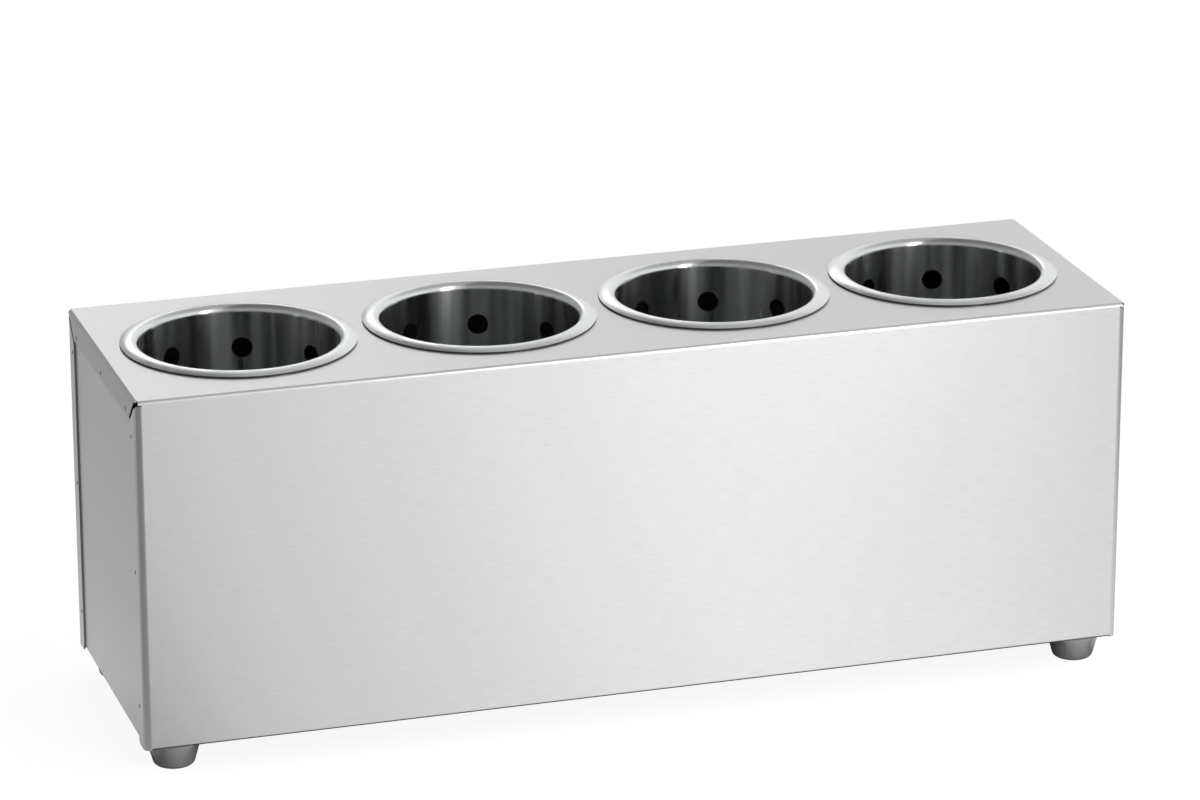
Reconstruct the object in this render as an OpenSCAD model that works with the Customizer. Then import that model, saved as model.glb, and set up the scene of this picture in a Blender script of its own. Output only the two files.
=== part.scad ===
// Counter-top cutlery dispenser. A folded stainless housing carries four
// perforated quivers, which hang by their rims and lift out. Millimetres, +Z up.
// The origin is on the table under the middle of the housing, and -Y is the front.

/* [Housing] */
// Width of the housing, end to end
housing_w = 500; // [496:1:640]
// Depth of the housing, front to back
housing_d = 150; // [132:1:220]
// Height of the housing, from its lower edge to its top
housing_h = 176.5; // [160:0.5:260]
// Thickness of the housing's stainless sheet
sheet_t = 0.8; // [0.6:0.1:1.2]
// Outer radius of the bends round the top panel
top_bend_r = 1.8; // [1.6:0.1:2.4]
// Outer radius of the four upright corner bends
corner_bend_r = 3.5; // [2.5:0.1:6]
// Outer radius of the bends along the lower edges
foot_bend_r = 1.6; // [1.5:0.1:3]

/* [End tabs] */
// Width of the tabs that lap over the edges of the side panels
tab_w = 12.5; // [9:0.5:20]
// Open gap of the mitre between two neighbouring tabs
mitre_gap = 1.5; // [0.5:0.1:3]
// Length of each bend left out at a top corner, so that the sheet can fold
corner_relief = 2.4; // [2.4:0.1:5]
// Radius on the lower free corner of an upright tab
tab_corner_r = 2.5; // [1:0.5:5]
// Gap between the edges of a side panel and the bends round it
panel_edge_gap = 0.3; // [0.2:0.1:1]

/* [Quivers] */
// Distance between the centres of neighbouring quivers
quiver_pitch = 121; // [118:0.5:124]
// Diameter inside the wall of a quiver
quiver_d = 97; // [88:0.5:99]
// Height of a quiver, from its underside to the crest of its rim
quiver_h = 137; // [130:1:155]
// Thickness of a quiver's sheet
quiver_t = 0.7; // [0.5:0.1:1]
// Width of the rim, from inside the wall to its outer edge
rim_w = 9; // [7:0.5:9.5]
// Radius of the roll between the wall and the crest of the rim
rim_roll_r = 3.5; // [2:0.1:4.5]
// Height of the rim's crest above its outer edge
rim_crown = 1.3; // [0.5:0.1:2]
// Outer radius of the corner between the wall and the floor of a quiver
quiver_corner_r = 7; // [4:0.5:10]
// Radial gap between a quiver and its hole in the top panel
quiver_gap = 1.2; // [0.6:0.1:2]
// Gap between the rim's outer edge and the top panel
rim_seat_gap = 0.2; // [0.1:0.1:0.5]

/* [Perforation] */
// Diameter of the holes in the wall of a quiver
wall_hole_d = 10.4; // [6:0.2:12]
// Holes in each row round the wall
holes_per_row = 8; // [6:1:10]
// Rows of holes, each turned by half a step from the one above
hole_rows = 5; // [1:1:5]
// Depth of the first row's centres below the top panel
first_row_drop = 19.6; // [14:0.2:22]
// Height between two rows
row_pitch = 21.5; // [16:0.5:22]
// Angle of the first hole, counted from +X towards the back
first_hole_angle = 75; // [0:5:90]
// Diameter of the drain holes in the floor of a quiver
floor_hole_d = 10; // [4:0.5:12]
// Drain holes round the middle one
floor_holes = 6; // [4:1:8]
// Radius of the ring of drain holes
floor_ring_r = 26; // [20:0.5:32]

/* [Feet] */
// Height of a foot
foot_h = 13.5; // [12:0.5:30]
// Diameter of a foot at its collar
foot_d = 26; // [23:0.5:29]
// Height of the collar
foot_collar_h = 2; // [1:0.5:4]
// Diameter that a foot's sole would have with a sharp edge
foot_sole_d = 19.5; // [18:0.5:22]
// Radius round the edge of the sole
foot_edge_r = 2.5; // [1:0.5:3]
// Distance of a foot's centre from the nearer end of the housing
foot_inset_w = 17.3; // [16:0.1:40]
// Distance of a foot's centre from the front or back of the housing
foot_inset_d = 15; // [15:0.5:30]
// Sheet left beyond a foot's centre on each lower flange
flange_margin = 12; // [8:0.5:20]

/* [Foot screws] */
// Diameter of a foot screw's shank
screw_d = 4; // [3:0.5:5]
// Diameter of a foot screw's head
screw_head_d = 8; // [7:0.2:8.8]
// Height of a foot screw's head
screw_head_h = 2.6; // [2:0.1:3.2]
// Length of screw that stands above its nut
screw_end = 1.5; // [0.5:0.5:5]
// Width of the cross recess's arms in a screw's head
cross_w = 1; // [0.6:0.1:1.4]
// Gap round a screw in the holes that it passes through
screw_hole_gap = 0.25; // [0.1:0.05:0.6]
// Gap round a screw in the bore of its nut
nut_bore_gap = 0.05; // [0.02:0.01:0.1]
// Width across the flats of a nut
nut_flats = 7; // [6.6:0.2:9]
// Height of a nut
nut_h = 3.2; // [2.4:0.2:6]
// Diameter of the washer between a screw's head and its foot
washer_d = 9; // [9:0.2:10]
// Thickness of that washer
washer_t = 0.8; // [0.6:0.1:1.6]
// Height of a foot between its washer and the housing
foot_web = 5; // [3:0.5:6]
// Gap round the washer in the recess of its foot
recess_gap = 0.4; // [0.2:0.1:0.8]

/* [Hidden] */
$fn = 96;

brushed_steel = "#c9cbcb";
polished_steel = "#e2e3e4";
foot_grey = "#6a6b6d";
zinc = "#aeb1b3";

left = -1;
right = 1;
front = -1;
rear = 1;
cut = 1;                               // how far a cutter reaches past a face

half_w = housing_w / 2;
half_d = housing_d / 2;
base_z = foot_h;                       // lower edge of the housing
top_z = base_z + housing_h;            // upper face of the top panel
lap_x = half_w - sheet_t;              // where a tab and a side panel touch
flanges_top_z = base_z + 2 * sheet_t;  // two flanges lie on each other over a foot

quiver_count = 4;
quiver_r = quiver_d / 2;
rim_fall = rim_w - rim_roll_r;         // from the crest out to the rim's edge
rim_arc_r = (rim_fall * rim_fall + rim_crown * rim_crown) / (2 * rim_crown);
rim_arc_angle = asin(rim_fall / rim_arc_r);
crest_z = top_z + rim_seat_gap + quiver_t + rim_crown;
quiver_floor_z = crest_z - quiver_h;   // underside of a quiver

washer_z = base_z - foot_web - washer_t;
screw_head_z = washer_z - screw_head_h;
nut_z = flanges_top_z;
screw_top_z = nut_z + nut_h + screw_end;

// ---- Shapes that repeat ----

// Copies a shape drawn at the right rear to the named side and end
module at_corner(side_x, side_y) {
    mirror([side_x == left ? 1 : 0, 0, 0])
        mirror([0, side_y == front ? 1 : 0, 0])
            children();
}

// Extrudes a section of depth and height along the width, about the middle
module along_width(length) {
    rotate([90, 0, 90]) linear_extrude(length, center = true) children();
}

// Extrudes a section of width and height along the depth, about the middle
module along_depth(length) {
    rotate([90, 0, 0]) linear_extrude(length, center = true) children();
}

// The slice of a ring of sheet between two angles less than 180 degrees apart
module ring_slice(outer_r, thickness, from, to) {
    reach = 2 * outer_r;
    mid = (from + to) / 2;
    intersection() {
        difference() {
            circle(outer_r);
            circle(outer_r - thickness);
        }
        polygon([[0, 0],
                 reach * [cos(from), sin(from)],
                 reach * [cos(mid), sin(mid)],
                 reach * [cos(to), sin(to)]]);
    }
}

// Edge-on view of a wall's lower bend and flange. The wall's outer face is x = 0, its
// lower edge is y = 0, and the flange runs to x = -flange_w
module flanged_edge(flange_w, wall_h) {
    translate([-sheet_t, foot_bend_r]) square([sheet_t, wall_h - foot_bend_r]);
    translate([-foot_bend_r, foot_bend_r]) ring_slice(foot_bend_r, sheet_t, 270, 360);
    translate([-flange_w, 0]) square([flange_w - foot_bend_r, sheet_t]);
}

// The holes for the foot screws, through everything round one height
module foot_screw_holes() {
    for (side_x = [left, right], side_y = [front, rear])
        at_foot(side_x, side_y)
            translate([0, 0, base_z - cut])
                cylinder(2 * sheet_t + 2 * cut, r = screw_d / 2 + screw_hole_gap);
}

// Places a shape drawn about the Z axis at a foot
module at_foot(side_x, side_y) {
    translate([side_x * (half_w - foot_inset_w), side_y * (half_d - foot_inset_d), 0])
        children();
}

// Places a shape drawn about the Z axis at the quiver with this number, from 1
module at_quiver(number) {
    translate([(number - (quiver_count + 1) / 2) * quiver_pitch, 0, 0]) children();
}

// ---- Housing ----

// Edge-on view of the top panel with its front and rear bends
module roof_section() {
    flat_d = housing_d - 2 * top_bend_r;
    translate([-flat_d / 2, top_z - sheet_t]) square([flat_d, sheet_t]);
    for (side = [front, rear])
        mirror([side == front ? 1 : 0, 0])
            translate([flat_d / 2, top_z - top_bend_r])
                ring_slice(top_bend_r, sheet_t, 0, 90);
}

// Edge-on view of the front and rear walls with their lower flanges
module walls_section() {
    for (side = [front, rear])
        mirror([side == front ? 1 : 0, 0])
            translate([half_d, base_z])
                flanged_edge(foot_inset_d + flange_margin, housing_h - top_bend_r);
}

// What the mitre takes off an upright tab at the rear top corner, as depth and height
module mitre_offcut() {
    reach = 2 * tab_w;
    set_back = mitre_gap / sqrt(2);
    translate([half_d, top_z]) rotate(180)
        polygon([[-reach, set_back - reach], [reach, set_back + reach], [reach, -reach]]);
}

// Swaps the two arms of the rear top corner, so that the offcut suits the top tab
module swap_arms() {
    translate([half_d, top_z]) mirror([1, -1]) translate([-half_d, -top_z]) children();
}

// An upright corner bend and the tab that laps over the side panel, at the right rear
module upright_tab() {
    difference() {
        translate([0, 0, base_z]) linear_extrude(housing_h - corner_relief) {
            translate([half_w - corner_bend_r, half_d - corner_bend_r])
                ring_slice(corner_bend_r, sheet_t, 0, 90);
            translate([lap_x, half_d - tab_w]) square([sheet_t, tab_w - corner_bend_r]);
        }
        along_width(housing_w + cut) mitre_offcut();
        along_width(housing_w + cut) translate([half_d - tab_w, base_z]) difference() {
            translate([-cut, -cut]) square(tab_corner_r + cut);
            translate([tab_corner_r, tab_corner_r]) circle(tab_corner_r);
        }
    }
}

// The bend along one end of the top panel and its tab, at the right
module top_tab() {
    difference() {
        along_depth(housing_d - 2 * corner_relief) {
            translate([half_w - top_bend_r, top_z - top_bend_r])
                ring_slice(top_bend_r, sheet_t, 0, 90);
            translate([lap_x, top_z - tab_w]) square([sheet_t, tab_w - top_bend_r]);
        }
        for (side = [front, rear])
            at_corner(right, side) along_width(housing_w + cut) swap_arms() mitre_offcut();
    }
}

// One folded sheet: top, front, back, their lower flanges and the end tabs
module housing_shell() {
    seat_hole_r = quiver_r + quiver_t + quiver_gap;
    color(brushed_steel) difference() {
        union() {
            along_width(housing_w - 2 * top_bend_r) roof_section();
            along_width(housing_w - 2 * corner_bend_r) walls_section();
            for (side_x = [left, right]) {
                at_corner(side_x, rear) top_tab();
                for (side_y = [front, rear]) at_corner(side_x, side_y) upright_tab();
            }
        }
        for (number = [1:quiver_count])
            at_quiver(number)
                translate([0, 0, top_z - sheet_t - cut])
                    cylinder(sheet_t + 2 * cut, r = seat_hole_r);
        foot_screw_holes();
    }
}

// A flat end panel inside the tabs. Its lower flange lies on those of the walls
module side_panel(side_x) {
    wall_h = housing_h - sheet_t - top_bend_r - panel_edge_gap;
    color(brushed_steel) difference() {
        at_corner(side_x, rear)
            along_depth(housing_d - 2 * (corner_bend_r + panel_edge_gap))
                translate([lap_x, base_z + sheet_t])
                    flanged_edge(foot_inset_w + flange_margin, wall_h);
        foot_screw_holes();
    }
}

// ---- Quivers ----

// Half of a quiver's wall, cut through its axis: x is the radius, and y is the height
// above the crest of the rim
module quiver_section() {
    outer_r = quiver_r + quiver_t;
    corner_y = quiver_corner_r - quiver_h;
    translate([quiver_r + rim_roll_r, -rim_arc_r])
        ring_slice(rim_arc_r, quiver_t, 90 - rim_arc_angle, 90);
    translate([quiver_r + rim_roll_r, -rim_roll_r]) ring_slice(rim_roll_r, quiver_t, 90, 180);
    translate([quiver_r, corner_y]) square([quiver_t, -rim_roll_r - corner_y]);
    translate([outer_r - quiver_corner_r, corner_y])
        ring_slice(quiver_corner_r, quiver_t, 270, 360);
    translate([0, -quiver_h]) square([outer_r - quiver_corner_r, quiver_t]);
}

// The rows of round holes in the wall
module wall_holes() {
    step = 360 / holes_per_row;
    for (row = [0:hole_rows - 1], hole = [0:holes_per_row - 1])
        rotate(first_hole_angle + (hole + (row % 2) / 2) * step)
            translate([quiver_r - cut, 0, top_z - first_row_drop - row * row_pitch])
                rotate([0, 90, 0]) cylinder(quiver_t + 2 * cut, d = wall_hole_d);
}

// The drain holes in the floor
module drain_holes() {
    places = concat([[0, 0]],
                    [for (hole = [1:floor_holes])
                        floor_ring_r * [cos(hole * 360 / floor_holes),
                                        sin(hole * 360 / floor_holes)]]);
    for (place = places)
        translate([place.x, place.y, quiver_floor_z - cut])
            cylinder(quiver_t + 2 * cut, d = floor_hole_d);
}

// A deep-drawn cup with a rolled rim that rests on the top panel
module quiver(number) {
    color(polished_steel) at_quiver(number) difference() {
        translate([0, 0, crest_z]) rotate_extrude() quiver_section();
        wall_holes();
        drain_holes();
    }
}

// ---- Feet ----

// Half of a foot's outline: a collar, a flank that draws in, and a rounded sole edge
module foot_outline() {
    flank_h = foot_h - foot_collar_h;
    collar_r = foot_d / 2;
    sole_r = foot_sole_d / 2;
    flank_angle = atan((collar_r - sole_r) / flank_h);
    setback = foot_edge_r / tan((90 + flank_angle) / 2);
    translate([sole_r - setback, foot_edge_r]) circle(foot_edge_r);
    polygon([[0, 0],
             [sole_r - setback, 0],
             [sole_r - setback, foot_edge_r],
             [sole_r + setback * sin(flank_angle), setback * cos(flank_angle)],
             [collar_r, flank_h],
             [collar_r, foot_h],
             [0, foot_h]]);
}

// A turned foot, recessed from below for its screw
module foot(side_x, side_y) {
    color(foot_grey) at_foot(side_x, side_y) difference() {
        rotate_extrude() foot_outline();
        translate([0, 0, -cut]) cylinder(base_z - foot_web + cut, r = washer_d / 2 + recess_gap);
        cylinder(foot_h + cut, r = screw_d / 2 + screw_hole_gap);
    }
}

// The flat washer between a foot and the head of its screw
module foot_washer(side_x, side_y) {
    color(zinc) at_foot(side_x, side_y) translate([0, 0, washer_z]) difference() {
        cylinder(washer_t, d = washer_d);
        translate([0, 0, -cut]) cylinder(washer_t + 2 * cut, r = screw_d / 2 + screw_hole_gap);
    }
}

// A pan head screw, head down, with a cross recess
module foot_screw(side_x, side_y) {
    recess_l = 0.6 * screw_head_d;
    recess_h = 0.6 * screw_head_h;
    head_r = screw_head_d / 2;
    edge_r = screw_head_h / 2;
    color(zinc) at_foot(side_x, side_y) difference() {
        union() {
            translate([0, 0, screw_head_z]) rotate_extrude() {
                translate([0, edge_r]) square([head_r, screw_head_h - edge_r]);
                square([head_r - edge_r, screw_head_h]);
                translate([head_r - edge_r, edge_r]) circle(edge_r);
            }
            translate([0, 0, washer_z]) cylinder(screw_top_z - washer_z, d = screw_d);
        }
        for (turn = [0, 90])
            rotate(turn) translate([-recess_l / 2, -cross_w / 2, screw_head_z - cut])
                cube([recess_l, cross_w, recess_h + cut]);
    }
}

// The hexagon nut that holds a foot's screw on top of the flanges
module foot_nut(side_x, side_y) {
    color(zinc) at_foot(side_x, side_y) translate([0, 0, nut_z]) difference() {
        cylinder(nut_h, d = nut_flats / cos(30), $fn = 6);
        translate([0, 0, -cut]) cylinder(nut_h + 2 * cut, r = screw_d / 2 + nut_bore_gap);
    }
}

housing_shell();
side_panel(left);  // side_panel_left
side_panel(right);  // side_panel_right
quiver(1);  // quiver_1
quiver(2);  // quiver_2
quiver(3);  // quiver_3
quiver(4);  // quiver_4
foot(left, front);  // foot_front_left
foot(right, front);  // foot_front_right
foot(left, rear);  // foot_rear_left
foot(right, rear);  // foot_rear_right
foot_washer(left, front);  // foot_washer_front_left
foot_washer(right, front);  // foot_washer_front_right
foot_washer(left, rear);  // foot_washer_rear_left
foot_washer(right, rear);  // foot_washer_rear_right
foot_screw(left, front);  // foot_screw_front_left
foot_screw(right, front);  // foot_screw_front_right
foot_screw(left, rear);  // foot_screw_rear_left
foot_screw(right, rear);  // foot_screw_rear_right
foot_nut(left, front);  // foot_nut_front_left
foot_nut(right, front);  // foot_nut_front_right
foot_nut(left, rear);  // foot_nut_rear_left
foot_nut(right, rear);  // foot_nut_rear_right
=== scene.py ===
"""Finishes of a counter-top cutlery dispenser, laid out as an add-on.

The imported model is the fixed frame. The operators give each of its parts a finish, add the
marks of the spot welds, and set up a plain studio. Units are metres unless a name says mm.
"""

import math

import bmesh
import bpy
from mathutils import Matrix, Vector


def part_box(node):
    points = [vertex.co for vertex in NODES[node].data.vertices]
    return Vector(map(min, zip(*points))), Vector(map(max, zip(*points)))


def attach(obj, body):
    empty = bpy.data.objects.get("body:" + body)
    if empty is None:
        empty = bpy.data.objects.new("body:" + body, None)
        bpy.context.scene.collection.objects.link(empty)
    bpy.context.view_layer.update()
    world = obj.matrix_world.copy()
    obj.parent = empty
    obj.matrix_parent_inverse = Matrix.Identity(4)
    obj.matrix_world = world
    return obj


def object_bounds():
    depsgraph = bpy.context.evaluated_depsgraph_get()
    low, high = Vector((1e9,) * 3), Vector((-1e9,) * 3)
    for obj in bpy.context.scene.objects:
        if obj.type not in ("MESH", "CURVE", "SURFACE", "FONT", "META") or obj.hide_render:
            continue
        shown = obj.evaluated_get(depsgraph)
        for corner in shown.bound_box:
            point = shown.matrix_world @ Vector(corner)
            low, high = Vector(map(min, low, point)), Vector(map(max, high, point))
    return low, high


bl_info = {
    "name": "Cutlery Dispenser Finishes",
    "version": (1, 0, 0),
    "blender": (4, 5, 0),
    "location": "3D View > Sidebar > Dispenser",
    "description": "Finishes, weld marks and studio for a stainless cutlery dispenser",
    "category": "Object",
}

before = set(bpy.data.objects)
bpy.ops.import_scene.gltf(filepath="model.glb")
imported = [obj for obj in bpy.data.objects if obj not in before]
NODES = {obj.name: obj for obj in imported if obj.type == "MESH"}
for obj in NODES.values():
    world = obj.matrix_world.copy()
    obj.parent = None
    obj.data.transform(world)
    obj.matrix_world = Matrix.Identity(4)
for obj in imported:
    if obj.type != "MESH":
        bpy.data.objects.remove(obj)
CAD_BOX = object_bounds()

MM = 0.001

# A Mix node repeats the names of its sockets, so they go by number
FACTOR = 0
VECTOR_A, VECTOR_B, VECTOR_OUT = 4, 5, 1
COLOUR_A, COLOUR_B, COLOUR_OUT = 6, 7, 2

# Nearly all of a noise texture lies between these two values
NOISE_LOW, NOISE_HIGH = 0.3, 0.7

# How many of a pattern's marks go to a metre. A quiver's streaks are 11 mm wide and 333 mm
# long, which is coarser than real polishing marks
STREAKS_PER_METRE = (90, 90, 3)
MOTTLES_PER_METRE = 900.0
SPANGLES_PER_METRE = 700.0
BURNS_PER_METRE = 1500.0

# The middle of the studio's window as a direction, the cosines of the angles from it at which
# the window starts and is at its full light, and that light
WINDOW_DIRECTION = (0.127, 0.905, 0.407)
WINDOW_START, WINDOW_FULL = 0.985, 0.998
WINDOW_LIGHT = 0.8

# The shade under the part as the steel mirrors it: where it starts to clear and is clear,
# measured out from the part's footprint, and how light it is at its darkest
SHADE_START, SHADE_END = -4 * MM, 6 * MM
SHADE_LIGHT = 0.03

STRIP_PLACE = (0.6, -1.55, 0.75)
STRIP_SIZE = (0.3, 1.2)

HOUSING = ("housing_shell",)
SIDE_PANELS = ("side_panel_left", "side_panel_right")
QUIVERS = tuple(f"quiver_{number}" for number in range(1, 5))
CORNERS = ("front_left", "front_right", "rear_left", "rear_right")
FEET = tuple(f"foot_{corner}" for corner in CORNERS)
FASTENERS = tuple(
    f"foot_{kind}_{corner}" for kind in ("washer", "screw", "nut") for corner in CORNERS
)


def linear(hex_colour):
    """Linear RGB of an sRGB colour written as #rrggbb"""
    values = [int(hex_colour[i : i + 2], 16) / 255 for i in (1, 3, 5)]
    return tuple(
        v / 12.92 if v <= 0.04045 else ((v + 0.055) / 1.055) ** 2.4 for v in values
    )


# ---- Sizes and colours ----


def length_prop(name, description, metres):
    return bpy.props.FloatProperty(
        name=name, description=description, default=metres, min=0, subtype="DISTANCE",
        unit="LENGTH",
    )


def colour_prop(name, description, hex_colour):
    return bpy.props.FloatVectorProperty(
        name=name, description=description, default=linear(hex_colour), size=3, min=0, max=1,
        subtype="COLOR",
    )


def angle_prop(name, description, degrees):
    return bpy.props.FloatProperty(
        name=name, description=description, default=math.radians(degrees), subtype="ANGLE",
        unit="ROTATION",
    )


def power_prop(name, description, watts):
    return bpy.props.FloatProperty(
        name=name, description=description, default=watts, min=0, unit="POWER"
    )


class DispenserFinish(bpy.types.PropertyGroup):
    """Colours and sizes of the finishes"""

    brushed_colour: colour_prop("Brushed steel", "Colour of the brushed housing sheet", "#e7e7e7")
    # Darker than a plain mill finish: this colour also paints the shade inside the housing, under
    # its lower edge and under the quivers' rims
    mill_and_shade_colour: colour_prop(
        "Mill finish", "Colour of the steel left dull from the mill", "#6f7072"
    )
    # Greyer than the faces: partly the cut edges' own finish, partly painted shade of the gaps at
    # the tabs' edges
    sheared_and_shade_colour: colour_prop("Sheared edges", "Colour of the steel's cut edges", "#9a9a9c")
    # Painted shade: near-black for the side panel seen through the open mitres and the tab faces
    # beside them
    joint_shade_colour: colour_prop("Joints", "Colour of the steel in the open mitres", "#0c0c0d")
    polished_colour: colour_prop("Polished steel", "Colour of the quivers", "#e3e5e6")
    foot_colour: colour_prop("Feet", "Colour of the moulded feet", "#b2b2b4")
    zinc_colour: colour_prop("Zinc", "Colour of the zinc-plated screws", "#b6b9bd")
    weld_colour: colour_prop("Weld", "Colour of the steel that a weld has tinted", "#34322e")
    sheet_thickness: length_prop("Sheet", "Thickness of the housing's sheet", 0.8 * MM)
    # Real grit marks are finer: these strokes are as wide as shows at the camera's distance
    grain_length: length_prop("Grain length", "Length of one brush stroke", 9 * MM)
    grain_width: length_prop("Grain width", "Width of one brush stroke", 0.5 * MM)
    tab_width: length_prop("Tab width", "Width of the tabs over the side panels", 12.5 * MM)
    mitre_gap: length_prop("Mitre gap", "Open gap between two neighbouring tabs", 1.5 * MM)
    weld_diameter: length_prop("Weld mark", "Diameter of the mark of a spot weld", 2.2 * MM)
    weld_setback: length_prop("Weld setback", "From a tab's free edge to its welds", 3 * MM)
    weld_end_gap: length_prop("Weld end gap", "From a tab's end to its first weld", 20 * MM)


class DispenserStage(bpy.types.PropertyGroup):
    """Camera, floor and light"""

    azimuth: angle_prop("Azimuth", "Camera's angle to the left of the front", 17.317)
    elevation: angle_prop("Elevation", "Camera's angle above the horizon", 18.998)
    roll: angle_prop("Roll", "Tilt of the camera about its own axis", -0.09)
    distance: length_prop("Distance", "From the camera to the point that it looks at", 2.6441)
    aim: bpy.props.FloatVectorProperty(
        name="Aim", description="Point that the camera looks at", default=(0.00127, 0, 0.14056),
        size=3, subtype="TRANSLATION", unit="LENGTH",
    )
    lens: bpy.props.FloatProperty(
        name="Focal length", description="Focal length in millimetres", default=159.96, min=1,
    )
    floor_size: length_prop("Floor", "Side of the square floor", 20)
    strip_power: power_prop("Strip light", "Power of the upright strip at the right front", 6)


# ---- Shaders ----


def add_node(tree, kind, inputs=None, stops=(), **settings):
    """Adds a node, sets its properties, and sets or links its inputs.

    A colour ramp's grey stops are pairs of a position and a grey.
    """
    made = tree.nodes.new(kind)
    for name, value in settings.items():
        setattr(made, name, value)
    for socket, value in (inputs or {}).items():
        if isinstance(value, bpy.types.NodeSocket):
            tree.links.new(value, made.inputs[socket])
        else:
            made.inputs[socket].default_value = value
    if stops:
        elements = made.color_ramp.elements
        elements[0].position = stops[0][0]
        elements[-1].position = stops[-1][0]
        for position, _ in stops[1:-1]:
            elements.new(position)
        for element, (_, grey) in zip(elements, stops):
            element.color = (grey, grey, grey, 1)
    return made


def new_material(name):
    """A material with an empty tree and its output node"""
    material = bpy.data.materials.new(name)
    material.use_nodes = True
    material.node_tree.nodes.clear()
    return material, material.node_tree, material.node_tree.nodes.new("ShaderNodeOutputMaterial")


def rgba(colour, factor=1.0):
    return (*(min(1.0, channel * factor) for channel in colour), 1.0)


def depths(tree):
    """How deep a point of the housing lies below its top, in from the front or back, whichever
    is nearer, and in from the nearer end"""
    place = add_node(tree, "ShaderNodeTexCoord").outputs["Object"]
    off_middle = add_node(
        tree, "ShaderNodeVectorMath", {0: place}, operation="ABSOLUTE"
    ).outputs[0]
    reach = Vector((CAD_BOX[1].x, CAD_BOX[1].y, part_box("housing_shell")[1].z))
    depth = add_node(
        tree, "ShaderNodeVectorMath", {0: reach, 1: off_middle}, operation="SUBTRACT"
    ).outputs[0]
    off_end, off_edge, below_top = add_node(
        tree, "ShaderNodeSeparateXYZ", {"Vector": depth}
    ).outputs
    return below_top, off_edge, off_end


def facing_end(tree):
    """How squarely the surface faces an end of the housing, from 0 to 1"""
    normal = add_node(tree, "ShaderNodeTexCoord").outputs["Normal"]
    normal_x = add_node(tree, "ShaderNodeSeparateXYZ", {"Vector": normal}).outputs["X"]
    return add_node(tree, "ShaderNodeMath", {0: normal_x}, operation="ABSOLUTE").outputs[0]


def grain_axes(tree, folded):
    """Coordinates whose X runs along the brush strokes, and the strokes' direction.

    The strokes follow the sheet round its bends: along the width on the front, top and back,
    along the depth on the upright tabs and side panels, and upright on the top tabs.
    """
    place = add_node(tree, "ShaderNodeTexCoord").outputs["Object"]
    x, y, z = add_node(tree, "ShaderNodeSeparateXYZ", {"Vector": place}).outputs
    on_end = add_node(
        tree, "ShaderNodeMath", {0: facing_end(tree), 1: 0.5}, operation="GREATER_THAN"
    ).outputs[0]
    along_y = add_node(tree, "ShaderNodeCombineXYZ", {"X": y, "Y": x, "Z": z}).outputs[0]
    end_place = along_y
    end_stroke = (0, 1, 0)
    if folded:
        below_top, off_edge, _ = depths(tree)
        on_top_tab = add_node(
            tree, "ShaderNodeMath", {0: below_top, 1: off_edge}, operation="LESS_THAN"
        ).outputs[0]
        along_z = add_node(tree, "ShaderNodeCombineXYZ", {"X": z, "Y": x, "Z": y}).outputs[0]
        end_place = add_node(
            tree, "ShaderNodeMix",
            {FACTOR: on_top_tab, VECTOR_A: along_y, VECTOR_B: along_z}, data_type="VECTOR",
        ).outputs[VECTOR_OUT]
        end_stroke = add_node(
            tree, "ShaderNodeMix", {FACTOR: on_top_tab, VECTOR_A: (0, 1, 0), VECTOR_B: (0, 0, 1)},
            data_type="VECTOR",
        ).outputs[VECTOR_OUT]
    strokes_place = add_node(
        tree, "ShaderNodeMix",
        {FACTOR: on_end, VECTOR_A: place, VECTOR_B: end_place}, data_type="VECTOR",
    ).outputs[VECTOR_OUT]
    stroke = add_node(
        tree, "ShaderNodeMix",
        {FACTOR: on_end, VECTOR_A: (1, 0, 0), VECTOR_B: end_stroke}, data_type="VECTOR",
    ).outputs[VECTOR_OUT]
    return strokes_place, stroke


def on_cut_edges(tree, finish):
    """1 on the cut edges of the tabs, and 0 on the faces of the sheet"""
    off_end = depths(tree)[2]
    in_tab = add_node(
        tree, "ShaderNodeMath", {0: off_end, 1: 0.99 * finish.sheet_thickness},
        operation="LESS_THAN",
    ).outputs[0]
    turned = add_node(
        tree, "ShaderNodeMath", {0: facing_end(tree), 1: 0.3}, operation="LESS_THAN"
    ).outputs[0]
    return add_node(
        tree, "ShaderNodeMath", {0: in_tab, 1: turned}, operation="MULTIPLY"
    ).outputs[0]


def along_mitres(tree, finish):
    """1 in and beside the open mitres of the tabs, and 0 elsewhere"""
    below_top, off_edge, off_end = depths(tree)
    off_line = add_node(
        tree, "ShaderNodeMath", {0: below_top, 1: off_edge}, operation="SUBTRACT"
    ).outputs[0]
    reach = add_node(tree, "ShaderNodeMath", {0: off_line}, operation="ABSOLUTE").outputs[0]
    in_strip = add_node(
        tree, "ShaderNodeMath", {0: reach, 1: finish.mitre_gap}, operation="LESS_THAN"
    ).outputs[0]
    beside_tab = add_node(
        tree, "ShaderNodeMath", {0: off_edge, 1: finish.tab_width}, operation="LESS_THAN"
    ).outputs[0]
    on_end = add_node(
        tree, "ShaderNodeMath", {0: off_end, 1: 2 * finish.sheet_thickness},
        operation="LESS_THAN",
    ).outputs[0]
    on_tabs = add_node(
        tree, "ShaderNodeMath", {0: in_strip, 1: beside_tab}, operation="MULTIPLY"
    ).outputs[0]
    return add_node(
        tree, "ShaderNodeMath", {0: on_tabs, 1: on_end}, operation="MULTIPLY"
    ).outputs[0]


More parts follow.
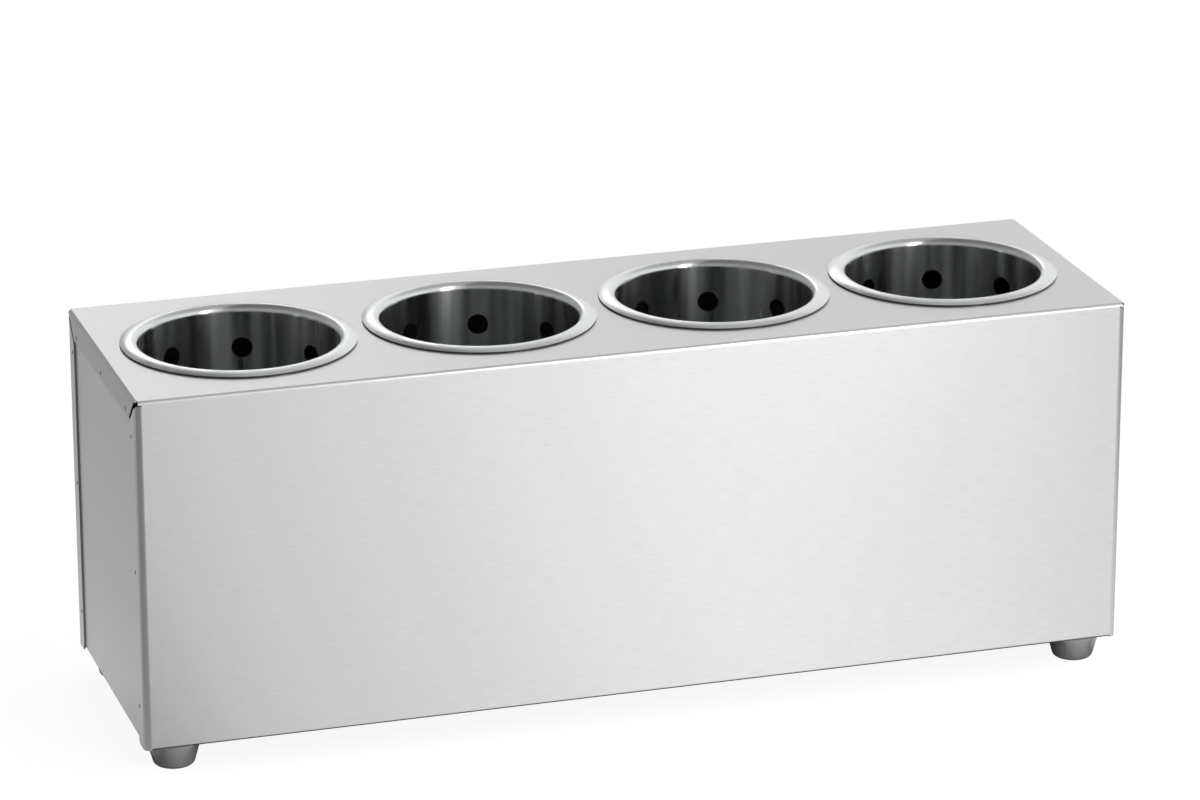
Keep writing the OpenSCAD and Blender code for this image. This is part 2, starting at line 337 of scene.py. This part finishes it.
def dull_and_shaded(tree):
    """1 on the inner side of the sheet and on its underside, and 0 elsewhere"""
    coordinates = add_node(tree, "ShaderNodeTexCoord").outputs
    off_middle = add_node(
        tree, "ShaderNodeVectorMath",
        {0: coordinates["Object"], 1: (0, 0, CAD_BOX[1].z / 2)}, operation="SUBTRACT",
    ).outputs[0]
    outward = add_node(
        tree, "ShaderNodeVectorMath", {0: coordinates["Normal"], 1: off_middle},
        operation="DOT_PRODUCT",
    ).outputs["Value"]
    inner = add_node(
        tree, "ShaderNodeMath", {0: outward, 1: 0.0}, operation="LESS_THAN"
    ).outputs[0]
    upward = add_node(
        tree, "ShaderNodeSeparateXYZ", {"Vector": coordinates["Normal"]}
    ).outputs["Z"]
    under = add_node(
        tree, "ShaderNodeMath", {0: upward, 1: -0.35}, operation="LESS_THAN"
    ).outputs[0]
    return add_node(tree, "ShaderNodeMath", {0: inner, 1: under}, operation="MAXIMUM").outputs[0]


def brushed_stainless(name, finish, folded):
    """Stainless sheet brushed with a grit belt: fine parallel strokes, and a highlight that
    is drawn out across them. The inner side and the underside are darkened, partly as the duller
    mill finish and partly as painted shade inside and under the lower edge. The cut edges are
    greyer, partly their own finish and partly painted shade of the gaps beside them, and the open
    joints carry near-black painted shade"""
    material, tree, output = new_material(name)
    strokes_place, stroke = grain_axes(tree, folded)
    fine = 1 / finish.grain_width
    long = 1 / finish.grain_length
    place = add_node(
        tree, "ShaderNodeMapping", {"Vector": strokes_place, "Scale": (long, fine, fine)}
    ).outputs[0]
    strokes = add_node(
        tree, "ShaderNodeTexNoise",
        {"Vector": place, "Scale": 1.0, "Detail": 3.0, "Roughness": 0.6},
    ).outputs["Fac"]
    tone = add_node(
        tree, "ShaderNodeMapRange",
        {"Value": strokes, "From Min": NOISE_LOW, "From Max": NOISE_HIGH},
    ).outputs[0]
    sheet = add_node(
        tree, "ShaderNodeMix",
        {
            FACTOR: tone, COLOUR_A: rgba(finish.brushed_colour, 0.965),
            COLOUR_B: rgba(finish.brushed_colour, 1.04),
        },
        data_type="RGBA",
    ).outputs[COLOUR_OUT]
    # Partly mill finish, partly painted shade: the inner side and the underside go dark
    both_sides = add_node(
        tree, "ShaderNodeMix",
        {FACTOR: dull_and_shaded(tree), COLOUR_A: sheet, COLOUR_B: rgba(finish.mill_and_shade_colour)},
        data_type="RGBA",
    ).outputs[COLOUR_OUT]
    with_edges = both_sides
    # Partly painted shade: the tabs' cut edges go darker
    if folded:
        with_edges = add_node(
            tree, "ShaderNodeMix",
            {
                FACTOR: on_cut_edges(tree, finish), COLOUR_A: both_sides,
                COLOUR_B: rgba(finish.sheared_and_shade_colour),
            },
            data_type="RGBA",
        ).outputs[COLOUR_OUT]
    # Painted shade: the open mitres, and a strip of tab beside them, go near-black
    colour = add_node(
        tree, "ShaderNodeMix",
        {
            FACTOR: along_mitres(tree, finish), COLOUR_A: with_edges,
            COLOUR_B: rgba(finish.joint_shade_colour),
        },
        data_type="RGBA",
    ).outputs[COLOUR_OUT]
    roughness = add_node(
        tree, "ShaderNodeMapRange",
        {
            "Value": strokes, "From Min": NOISE_LOW, "From Max": NOISE_HIGH,
            "To Min": 0.3, "To Max": 0.37,
        },
    ).outputs[0]
    bump = add_node(
        tree, "ShaderNodeBump", {"Height": strokes, "Strength": 0.4, "Distance": 0.01 * MM}
    ).outputs[0]
    steel = add_node(
        tree, "ShaderNodeBsdfPrincipled",
        {
            "Base Color": colour, "Metallic": 1.0, "Roughness": roughness, "Normal": bump,
            "Anisotropic": 0.75, "Anisotropic Rotation": 0.25, "Tangent": stroke,
        },
    )
    tree.links.new(steel.outputs[0], output.inputs[0])
    return material


def rim_edge_shade(tree):
    """1 on the rolled-under edge of a quiver's rim, and 0 elsewhere"""
    coordinates = add_node(tree, "ShaderNodeTexCoord").outputs
    flat = add_node(
        tree, "ShaderNodeVectorMath", {0: coordinates["Generated"], 1: (1, 1, 0)},
        operation="MULTIPLY",
    ).outputs[0]
    off_axis = add_node(
        tree, "ShaderNodeVectorMath", {0: flat, 1: (0.5, 0.5, 0)}, operation="DISTANCE"
    ).outputs["Value"]
    at_edge = add_node(
        tree, "ShaderNodeMath", {0: off_axis, 1: 0.49}, operation="GREATER_THAN"
    ).outputs[0]
    normal = add_node(tree, "ShaderNodeSeparateXYZ", {"Vector": coordinates["Normal"]}).outputs
    facing_down = add_node(
        tree, "ShaderNodeMath", {0: normal["Z"], 1: -0.1}, operation="LESS_THAN"
    ).outputs[0]
    return add_node(
        tree, "ShaderNodeMath", {0: at_edge, 1: facing_down}, operation="MULTIPLY"
    ).outputs[0]


def polished_stainless(name, finish):
    """Deep-drawn stainless, polished round and round to a near mirror, so that what it
    reflects is drawn out into upright streaks. The rolled-under edge of the rim is painted dark,
    as painted shade where the rim sits on the top"""
    material, tree, output = new_material(name)
    place = add_node(tree, "ShaderNodeTexCoord").outputs["Object"]
    streak_place = add_node(
        tree, "ShaderNodeMapping", {"Vector": place, "Scale": STREAKS_PER_METRE}
    ).outputs[0]
    streaks = add_node(
        tree, "ShaderNodeTexNoise", {"Vector": streak_place, "Scale": 1.0, "Detail": 1.0}
    ).outputs["Fac"]
    roughness = add_node(
        tree, "ShaderNodeMapRange",
        {
            "Value": streaks, "From Min": NOISE_LOW, "From Max": NOISE_HIGH,
            "To Min": 0.1, "To Max": 0.28,
        },
    ).outputs[0]
    # Painted shade: the rim's rolled-under edge takes the dark mill-and-shade colour
    colour = add_node(
        tree, "ShaderNodeMix",
        {
            FACTOR: rim_edge_shade(tree), COLOUR_A: rgba(finish.polished_colour),
            COLOUR_B: rgba(finish.mill_and_shade_colour),
        },
        data_type="RGBA",
    ).outputs[COLOUR_OUT]
    round_axis = add_node(tree, "ShaderNodeTangent", direction_type="RADIAL", axis="Z").outputs[0]
    steel = add_node(
        tree, "ShaderNodeBsdfPrincipled",
        {
            "Base Color": colour, "Metallic": 1.0, "Roughness": roughness,
            "Anisotropic": 0.85, "Anisotropic Rotation": 0.25, "Tangent": round_axis,
        },
    )
    tree.links.new(steel.outputs[0], output.inputs[0])
    return material


def moulded_foot(name, finish):
    """Thermoplastic rubber, moulded in a polished tool: grey with a wet gloss"""
    material, tree, output = new_material(name)
    place = add_node(tree, "ShaderNodeTexCoord").outputs["Object"]
    mottle = add_node(
        tree, "ShaderNodeTexNoise", {"Vector": place, "Scale": MOTTLES_PER_METRE, "Detail": 2.0}
    ).outputs["Fac"]
    colour = add_node(
        tree, "ShaderNodeMix",
        {
            FACTOR: mottle, COLOUR_A: rgba(finish.foot_colour, 0.9),
            COLOUR_B: rgba(finish.foot_colour, 1.1),
        },
        data_type="RGBA",
    ).outputs[COLOUR_OUT]
    rubber = add_node(
        tree, "ShaderNodeBsdfPrincipled",
        {"Base Color": colour, "Roughness": 0.15, "IOR": 1.53, "Coat Weight": 1.0,
         "Coat Roughness": 0.03, "Coat IOR": 2.1},
    )
    tree.links.new(rubber.outputs[0], output.inputs[0])
    return material


def zinc_plate(name, finish):
    """Bright zinc plate on steel: pale and slightly blue, with a soft shine"""
    material, tree, output = new_material(name)
    place = add_node(tree, "ShaderNodeTexCoord").outputs["Object"]
    spangle = add_node(
        tree, "ShaderNodeTexNoise", {"Vector": place, "Scale": SPANGLES_PER_METRE, "Detail": 2.0}
    ).outputs["Fac"]
    roughness = add_node(
        tree, "ShaderNodeMapRange",
        {
            "Value": spangle, "From Min": NOISE_LOW, "From Max": NOISE_HIGH,
            "To Min": 0.22, "To Max": 0.34,
        },
    ).outputs[0]
    zinc = add_node(
        tree, "ShaderNodeBsdfPrincipled",
        {"Base Color": rgba(finish.zinc_colour), "Metallic": 1.0, "Roughness": roughness},
    )
    tree.links.new(zinc.outputs[0], output.inputs[0])
    return material


def weld_tint(name, finish):
    """Stainless that a spot weld has heated: darker and duller than the sheet round it"""
    material, tree, output = new_material(name)
    place = add_node(tree, "ShaderNodeTexCoord").outputs["Object"]
    burn = add_node(
        tree, "ShaderNodeTexNoise", {"Vector": place, "Scale": BURNS_PER_METRE, "Detail": 2.0}
    ).outputs["Fac"]
    colour = add_node(
        tree, "ShaderNodeMix",
        {
            FACTOR: burn, COLOUR_A: rgba(finish.weld_colour, 0.7),
            COLOUR_B: rgba(finish.weld_colour, 1.3),
        },
        data_type="RGBA",
    ).outputs[COLOUR_OUT]
    steel = add_node(
        tree, "ShaderNodeBsdfPrincipled",
        {"Base Color": colour, "Metallic": 1.0, "Roughness": 0.45},
    )
    tree.links.new(steel.outputs[0], output.inputs[0])
    return material


def dress(names, material):
    for name in names:
        NODES[name].material_slots[0].material = material


# ---- Pieces ----


def dished_mark(bm, centre, outward, radius):
    """A round dish with a raised lip, on a face that looks along outward"""
    lip_h = 0.02 * MM
    rings = ((0.55, 0.25 * lip_h), (0.85, lip_h), (1.0, 0.1 * lip_h))
    sides = 24
    loops = []
    for share, height in rings:
        loop = []
        for side in range(sides):
            angle = 2 * math.pi * side / sides
            reach = share * radius
            offset = Vector((outward * height, reach * math.cos(angle), reach * math.sin(angle)))
            loop.append(bm.verts.new(centre + offset))
        loops.append(loop)
    middle = bm.verts.new(centre + Vector((outward * 0.1 * lip_h, 0, 0)))
    for side in range(sides):
        following = (side + 1) % sides
        bm.faces.new((middle, loops[0][side], loops[0][following]))
        for inner, outer in zip(loops, loops[1:]):
            bm.faces.new((inner[side], outer[side], outer[following], inner[following]))


def spread(low, high, count):
    return [low + (high - low) * step / (count - 1) for step in range(count)]


def add_weld_marks(finish, end_name, outward, material):
    """The marks along the three tabs of one end, as one piece"""
    low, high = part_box("housing_shell")
    face_x = high.x if outward > 0 else low.x
    line = finish.tab_width - finish.weld_setback
    gap = finish.weld_end_gap
    per_tab = 3
    places = [
        (side * (high.y - line), z)
        for side in (-1, 1)
        for z in spread(low.z + gap, high.z - gap, per_tab)
    ]
    places += [(y, high.z - line) for y in spread(low.y + gap, high.y - gap, per_tab)]
    bm = bmesh.new()
    for y, z in places:
        dished_mark(bm, Vector((face_x, y, z)), outward, finish.weld_diameter / 2)
    bmesh.ops.recalc_face_normals(bm, faces=bm.faces)
    mesh = bpy.data.meshes.new(f"weld_marks_{end_name}")
    bm.to_mesh(mesh)
    bm.free()
    mesh.shade_smooth()
    mesh.materials.append(material)
    piece = bpy.data.objects.new(f"weld_marks_{end_name}", mesh)
    bpy.context.scene.collection.objects.link(piece)
    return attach(piece, "housing")


# ---- Operators ----


class DISPENSER_OT_housing(bpy.types.Operator):
    """Brush the housing and its side panels, and add the spot weld marks"""

    bl_idname = "dispenser.housing"
    bl_label = "Housing"

    def execute(self, context):
        finish = context.scene.dispenser_finish
        dress(HOUSING, brushed_stainless("brushed_stainless_folded", finish, folded=True))
        dress(SIDE_PANELS, brushed_stainless("brushed_stainless_flat", finish, folded=False))
        tint = weld_tint("heat_tinted_stainless", finish)
        add_weld_marks(finish, "left", -1, tint)
        add_weld_marks(finish, "right", 1, tint)
        return {"FINISHED"}


class DISPENSER_OT_quivers(bpy.types.Operator):
    """Polish the four quivers"""

    bl_idname = "dispenser.quivers"
    bl_label = "Quivers"

    def execute(self, context):
        dress(QUIVERS, polished_stainless("polished_stainless", context.scene.dispenser_finish))
        return {"FINISHED"}


class DISPENSER_OT_feet(bpy.types.Operator):
    """Finish the feet with their washers, screws and nuts"""

    bl_idname = "dispenser.feet"
    bl_label = "Feet"

    def execute(self, context):
        finish = context.scene.dispenser_finish
        dress(FEET, moulded_foot("glossy_thermoplastic_rubber", finish))
        dress(FASTENERS, zinc_plate("bright_zinc_plate", finish))
        return {"FINISHED"}


def add_world(scene):
    """A pale studio with a soft window behind the part, darker overhead and to the left. The
    camera sees plain white"""
    world = bpy.data.worlds.new("studio")
    world.use_nodes = True
    scene.world = world
    tree = world.node_tree
    tree.nodes.clear()
    direction = add_node(tree, "ShaderNodeTexCoord").outputs["Generated"]
    split = add_node(tree, "ShaderNodeSeparateXYZ", {"Vector": direction}).outputs
    before = add_node(
        tree, "ShaderNodeValToRGB", {"Fac": split["Z"]},
        stops=[(0.0, 0.72), (0.17, 0.85), (0.4, 0.95), (0.62, 0.8), (0.8, 0.5), (1.0, 0.42)],
    ).outputs["Color"]
    behind = add_node(
        tree, "ShaderNodeValToRGB", {"Fac": split["Z"]},
        stops=[(0.0, 0.7), (0.2, 0.9), (0.33, 0.95), (0.5, 0.9), (0.66, 0.62), (0.85, 0.45),
               (1.0, 0.42)],
    ).outputs["Color"]
    backness = add_node(
        tree, "ShaderNodeMapRange", {"Value": split["Y"], "From Min": -0.3, "From Max": 0.3}
    ).outputs[0]
    around = add_node(
        tree, "ShaderNodeMix",
        {FACTOR: backness, COLOUR_A: before, COLOUR_B: behind}, data_type="RGBA",
    ).outputs[COLOUR_OUT]
    rightness = add_node(
        tree, "ShaderNodeMapRange",
        {"Value": split["X"], "From Min": 0.0, "From Max": 0.15, "To Min": 0.42},
    ).outputs[0]
    walls = add_node(
        tree, "ShaderNodeMix",
        {FACTOR: 1.0, COLOUR_A: around, COLOUR_B: rightness}, data_type="RGBA",
        blend_type="MULTIPLY",
    ).outputs[COLOUR_OUT]
    toward_window = add_node(
        tree, "ShaderNodeVectorMath", {0: direction, 1: WINDOW_DIRECTION},
        operation="DOT_PRODUCT",
    ).outputs["Value"]
    window = add_node(
        tree, "ShaderNodeMapRange",
        {
            "Value": toward_window, "From Min": WINDOW_START, "From Max": WINDOW_FULL,
            "To Max": WINDOW_LIGHT,
        },
    ).outputs[0]
    lit = add_node(
        tree, "ShaderNodeMix", {FACTOR: 1.0, COLOUR_A: walls, COLOUR_B: window}, data_type="RGBA",
        blend_type="ADD",
    ).outputs[COLOUR_OUT]
    path = add_node(tree, "ShaderNodeLightPath").outputs
    seen = add_node(
        tree, "ShaderNodeMix",
        {FACTOR: path["Is Camera Ray"], COLOUR_A: lit, COLOUR_B: (1, 1, 1, 1)},
        data_type="RGBA",
    ).outputs[COLOUR_OUT]
    studio = add_node(tree, "ShaderNodeBackground", {"Color": seen, "Strength": 1.0})
    output = tree.nodes.new("ShaderNodeOutputWorld")
    tree.links.new(studio.outputs[0], output.inputs[0])


def mirrored_floor(tree, x, y):
    """What the steel sees of the floor, as a glow that only reflections see: a painted pool of
    light, pale before and behind the part and darker off its ends, and a painted shadow under it"""
    along = add_node(
        tree, "ShaderNodeMapRange", {"Value": x, "From Min": -1.0, "From Max": 1.0}
    ).outputs[0]
    before = add_node(
        tree, "ShaderNodeValToRGB", {"Fac": along},
        stops=[(0.2, 0.2), (0.3, 0.22), (0.37, 0.3), (0.39, 0.45), (0.405, 0.6), (0.425, 0.68),
               (0.5, 0.8), (0.54, 0.86), (0.585, 0.8), (0.635, 0.72), (0.73, 0.75), (0.79, 0.3)],
    ).outputs["Color"]
    behind = add_node(
        tree, "ShaderNodeValToRGB", {"Fac": along},
        stops=[(0.2, 0.4), (0.27, 0.38), (0.295, 0.4), (0.335, 0.46), (0.36, 0.55), (0.4, 0.65),
               (0.5, 0.8), (0.63, 0.5), (0.75, 0.4)],
    ).outputs["Color"]
    backness = add_node(
        tree, "ShaderNodeMapRange", {"Value": y, "From Min": -0.1, "From Max": 0.05}
    ).outputs[0]
    tone = add_node(
        tree, "ShaderNodeMix",
        {FACTOR: backness, COLOUR_A: before, COLOUR_B: behind}, data_type="RGBA",
    ).outputs[COLOUR_OUT]
    high = CAD_BOX[1]
    off_x = add_node(tree, "ShaderNodeMath", {0: x}, operation="ABSOLUTE").outputs[0]
    off_y = add_node(tree, "ShaderNodeMath", {0: y}, operation="ABSOLUTE").outputs[0]
    past_end = add_node(
        tree, "ShaderNodeMath", {0: off_x, 1: high.x}, operation="SUBTRACT"
    ).outputs[0]
    past_face = add_node(
        tree, "ShaderNodeMath", {0: off_y, 1: high.y}, operation="SUBTRACT"
    ).outputs[0]
    clear = add_node(
        tree, "ShaderNodeMath", {0: past_end, 1: past_face}, operation="MAXIMUM"
    ).outputs[0]
    light = add_node(
        tree, "ShaderNodeMapRange",
        {
            "Value": clear, "From Min": SHADE_START, "From Max": SHADE_END,
            "To Min": SHADE_LIGHT, "To Max": 1.0,
        },
    ).outputs[0]
    return add_node(tree, "ShaderNodeEmission", {"Color": tone, "Strength": light}).outputs[0]


def add_floor(stage):
    """A plain pale floor that keeps the part's shadow"""
    material, tree, output = new_material("pale_floor")
    place = add_node(tree, "ShaderNodeTexCoord").outputs["Object"]
    x, y, _ = add_node(tree, "ShaderNodeSeparateXYZ", {"Vector": place}).outputs
    path = add_node(tree, "ShaderNodeLightPath").outputs
    glow = add_node(
        tree, "ShaderNodeEmission",
        {"Color": (0.9, 0.9, 0.9, 1), "Strength": path["Is Camera Ray"]},
    ).outputs[0]
    paint = add_node(tree, "ShaderNodeBsdfDiffuse", {"Color": (0.25, 0.25, 0.25, 1)}).outputs[0]
    plain = add_node(tree, "ShaderNodeAddShader", {0: glow, 1: paint}).outputs[0]
    # Reflections see the painted light and shadow of mirrored_floor, not the lit floor
    seen = add_node(
        tree, "ShaderNodeMixShader",
        {0: path["Is Glossy Ray"], 1: plain, 2: mirrored_floor(tree, x, y)},
    )
    tree.links.new(seen.outputs[0], output.inputs[0])

    half = stage.floor_size / 2
    bm = bmesh.new()
    corners = [(-half, -half, 0), (half, -half, 0), (half, half, 0), (-half, half, 0)]
    bm.faces.new([bm.verts.new(corner) for corner in corners])
    mesh = bpy.data.meshes.new("floor")
    bm.to_mesh(mesh)
    bm.free()
    mesh.materials.append(material)
    floor = bpy.data.objects.new("floor", mesh)
    bpy.context.scene.collection.objects.link(floor)


def add_softbox(name, place, size, power):
    """A flat lamp that faces the part. The camera doesn't see it"""
    lamp = bpy.data.lights.new(name, "AREA")
    lamp.shape = "RECTANGLE"
    lamp.size, lamp.size_y = size
    lamp.energy = power
    holder = bpy.data.objects.new(name, lamp)
    holder.location = place
    middle = Vector((0, 0, CAD_BOX[1].z / 2))
    holder.rotation_mode = "QUATERNION"
    holder.rotation_quaternion = (middle - holder.location).to_track_quat("-Z", "Y")
    holder.visible_camera = False
    bpy.context.scene.collection.objects.link(holder)


def add_camera(scene, stage):
    azimuth, elevation = stage.azimuth, stage.elevation
    back = Vector((
        -math.sin(azimuth) * math.cos(elevation),
        -math.cos(azimuth) * math.cos(elevation),
        math.sin(elevation),
    ))
    data = bpy.data.cameras.new("camera")
    data.lens = stage.lens
    data.sensor_width = 36
    camera = bpy.data.objects.new("camera", data)
    camera.location = Vector(stage.aim) + back * stage.distance
    camera.rotation_mode = "QUATERNION"
    turn = Matrix.Rotation(stage.roll, 3, "Z")
    level = (-back).to_track_quat("-Z", "Y").to_matrix()
    camera.rotation_quaternion = (level @ turn).to_quaternion()
    scene.collection.objects.link(camera)
    scene.camera = camera


class DISPENSER_OT_stage(bpy.types.Operator):
    """Set up the floor, the light and the camera"""

    bl_idname = "dispenser.stage"
    bl_label = "Stage"

    def execute(self, context):
        scene = context.scene
        stage = scene.dispenser_stage
        scene.view_settings.view_transform = "Standard"
        add_world(scene)
        add_floor(stage)
        add_softbox("strip_light", STRIP_PLACE, STRIP_SIZE, stage.strip_power)
        add_camera(scene, stage)
        return {"FINISHED"}


class DISPENSER_PT_panel(bpy.types.Panel):
    """The dispenser's finishes and stage, with their sizes and colours"""

    bl_idname = "DISPENSER_PT_panel"
    bl_label = "Cutlery Dispenser"
    bl_space_type = "VIEW_3D"
    bl_region_type = "UI"
    bl_category = "Dispenser"

    def draw(self, context):
        for operator in OPERATORS:
            self.layout.operator(operator.bl_idname)
        for group in (context.scene.dispenser_finish, context.scene.dispenser_stage):
            box = self.layout.box()
            for name in group.__annotations__:
                box.prop(group, name)


OPERATORS = (DISPENSER_OT_housing, DISPENSER_OT_quivers, DISPENSER_OT_feet, DISPENSER_OT_stage)
CLASSES = (DispenserFinish, DispenserStage, *OPERATORS, DISPENSER_PT_panel)


def register():
    for made in CLASSES:
        bpy.utils.register_class(made)
    bpy.types.Scene.dispenser_finish = bpy.props.PointerProperty(type=DispenserFinish)
    bpy.types.Scene.dispenser_stage = bpy.props.PointerProperty(type=DispenserStage)


def unregister():
    del bpy.types.Scene.dispenser_stage
    del bpy.types.Scene.dispenser_finish
    for made in reversed(CLASSES):
        bpy.utils.unregister_class(made)


def main():
    register()
    bpy.ops.dispenser.housing()
    bpy.ops.dispenser.quivers()
    bpy.ops.dispenser.feet()
    bpy.ops.dispenser.stage()


if __name__ == "__main__":
    main()
